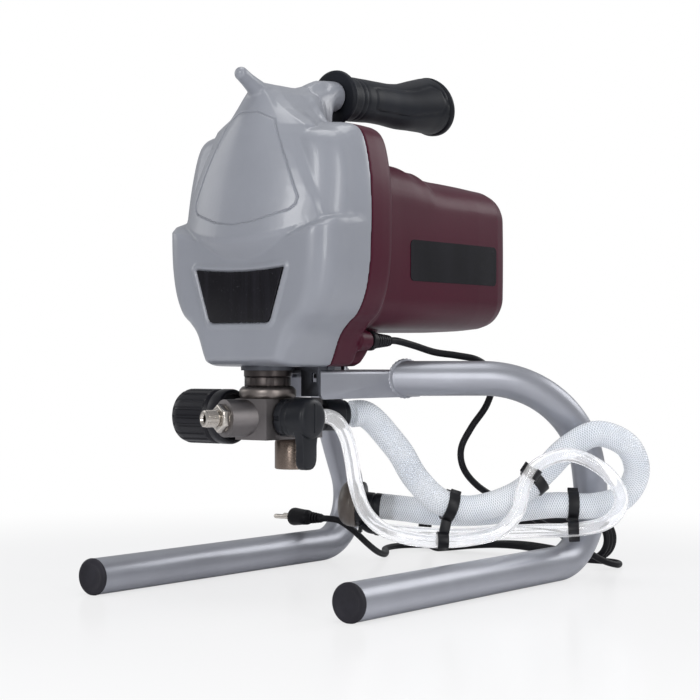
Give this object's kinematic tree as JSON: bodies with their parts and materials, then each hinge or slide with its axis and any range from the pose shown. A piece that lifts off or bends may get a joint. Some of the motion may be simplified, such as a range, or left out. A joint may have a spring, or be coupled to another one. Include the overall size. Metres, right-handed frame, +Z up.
{
  "type": "airless paint sprayer",
  "caption": "Electric piston-pump airless paint sprayer on a bent-tube stand, with pressure knob, prime valve, clear suction and drain hoses, and a mains cord.",
  "frame": {"origin": "centre of the footprint on the floor, under the stand", "axes": "+Z up, -Y towards the label face and the outlet, +X towards the prime valve and the hoses"},
  "size_m": [0.3825, 0.4968, 0.4774],
  "materials": {
    "tube_satin": "satin silver powder coat",
    "cap_plastic": "matt charcoal",
    "cover_silver": "satin silver-grey moulding",
    "housing_maroon": "semi-gloss maroon",
    "label_dark": "bare dark label plate",
    "bolt_steel": "zinc plated",
    "grip_rubber": "matt rubber",
    "handle_cast": "satin",
    "black_plastic": "matt black",
    "rocker_red": "gloss",
    "drive_cast": "cast, gunmetal",
    "bearing_steel": "ground steel",
    "gear_steel": "machined",
    "motor_steel": "plain",
    "brass": "machined",
    "carbon": "matt",
    "fan_plastic": "moulded",
    "board_green": "lacquered",
    "pump_steel": "dark turned steel",
    "plated_steel": "nickel plated",
    "inlet_steel": "dull turned steel",
    "hose_clear": "clear, lightly blue",
    "strainer_plastic": "dark mesh",
    "cord_rubber": "matt black",
    "pin_nickel": "nickel plated"
  },
  "bodies": {
    "sprayer": {"stand_leg_right": "tube_satin", "stand_leg_left": "tube_satin", "leg_caps": "cap_plastic", "mount_bracket": "tube_satin", "bracket_bolts": "bolt_steel", "front_cover": "cover_silver", "rear_housing": "housing_maroon", "front_label": "label_dark", "side_labels": "label_dark", "cover_screws": "bolt_steel", "handle_core": "handle_cast", "handle_grip": "grip_rubber", "cord_gland": "black_plastic", "switch_bezel": "black_plastic", "drive_housing": "drive_cast", "crank_bearing": "bearing_steel", "layshaft_bearings": "bearing_steel", "motor_plate": "drive_cast", "motor_can": "motor_steel", "stator_core": "motor_steel", "motor_bearings": "bearing_steel", "motor_end_frame": "drive_cast", "brush_holders": "brass", "carbon_brushes": "carbon", "control_board": "board_green", "pump_cylinder": "pump_steel", "jam_ring": "pump_steel", "pump_collar": "pump_steel", "rod_packing": "fan_plastic", "packing_nut": "brass", "manifold": "plated_steel", "outlet_check": "brass", "outlet_nipple": "plated_steel", "inlet_housing": "inlet_steel", "inlet_seat": "brass", "pressure_control": "plated_steel", "prime_valve_body": "black_plastic", "suction_fitting": "black_plastic", "suction_hose": "hose_clear", "drain_tube": "hose_clear", "hose_clips": "black_plastic", "strainer_elbow": "black_plastic", "strainer_cup": "strainer_plastic", "power_cord": "cord_rubber", "cord_hank": "cord_rubber", "plug_lead": "cord_rubber", "plug_body": "cord_rubber", "plug_pins": "pin_nickel"},
    "rotor": {"rotor": "motor_steel", "cooling_fan": "fan_plastic"},
    "layshaft": {"layshaft_gear": "gear_steel"},
    "crank": {"crank_gear": "gear_steel"},
    "piston": {"scotch_yoke": "gear_steel", "piston_rod": "bearing_steel"},
    "ball": {"inlet_ball": "bearing_steel"},
    "pressure_knob": {"pressure_knob": "black_plastic", "pressure_stem": "plated_steel"},
    "prime_lever": {"prime_lever": "black_plastic", "prime_stem": "plated_steel"},
    "power_rocker": {"power_rocker": "rocker_red"}
  },
  "joints": [
    {"name": "rotor_spin", "type": "hinge", "parent": "sprayer", "child": "rotor", "pos_m": [0, 0, 0.302], "axis": [0, 1, 0], "continuous": true},
    {"name": "layshaft_spin", "type": "hinge", "parent": "sprayer", "child": "layshaft", "pos_m": [0.0274, -0.08, 0.2836], "axis": [0, 1, 0], "continuous": true},
    {"name": "crank_spin", "type": "hinge", "parent": "sprayer", "child": "crank", "pos_m": [0, -0.08, 0.258], "axis": [0, 1, 0], "continuous": true},
    {"name": "piston_stroke", "type": "slide", "parent": "sprayer", "child": "piston", "axis": [0, 0, 1], "range_m": [-0.008, 0.008]},
    {"name": "ball_lift", "type": "slide", "parent": "sprayer", "child": "ball", "axis": [0, 0, 1], "range_m": [0, 0.003]},
    {"name": "pressure_turn", "type": "hinge", "parent": "sprayer", "child": "pressure_knob", "pos_m": [-0.05, -0.127, 0.1556], "axis": [1, 0, 0], "range_deg": [0, 270]},
    {"name": "prime_turn", "type": "hinge", "parent": "sprayer", "child": "prime_lever", "pos_m": [0.036, -0.127, 0.1556], "axis": [-1, 0, 0], "range_deg": [0, 90]},
    {"name": "rocker_tilt", "type": "hinge", "parent": "sprayer", "child": "power_rocker", "pos_m": [0, 0.169, 0.336], "axis": [1, 0, 0], "range_deg": [0, 14]}
  ],
  "couplings": [
    {"joint": "layshaft_spin", "follows": "rotor_spin", "ratio": -0.22222},
    {"joint": "crank_spin", "follows": "rotor_spin", "ratio": 0.055556}
  ]
}
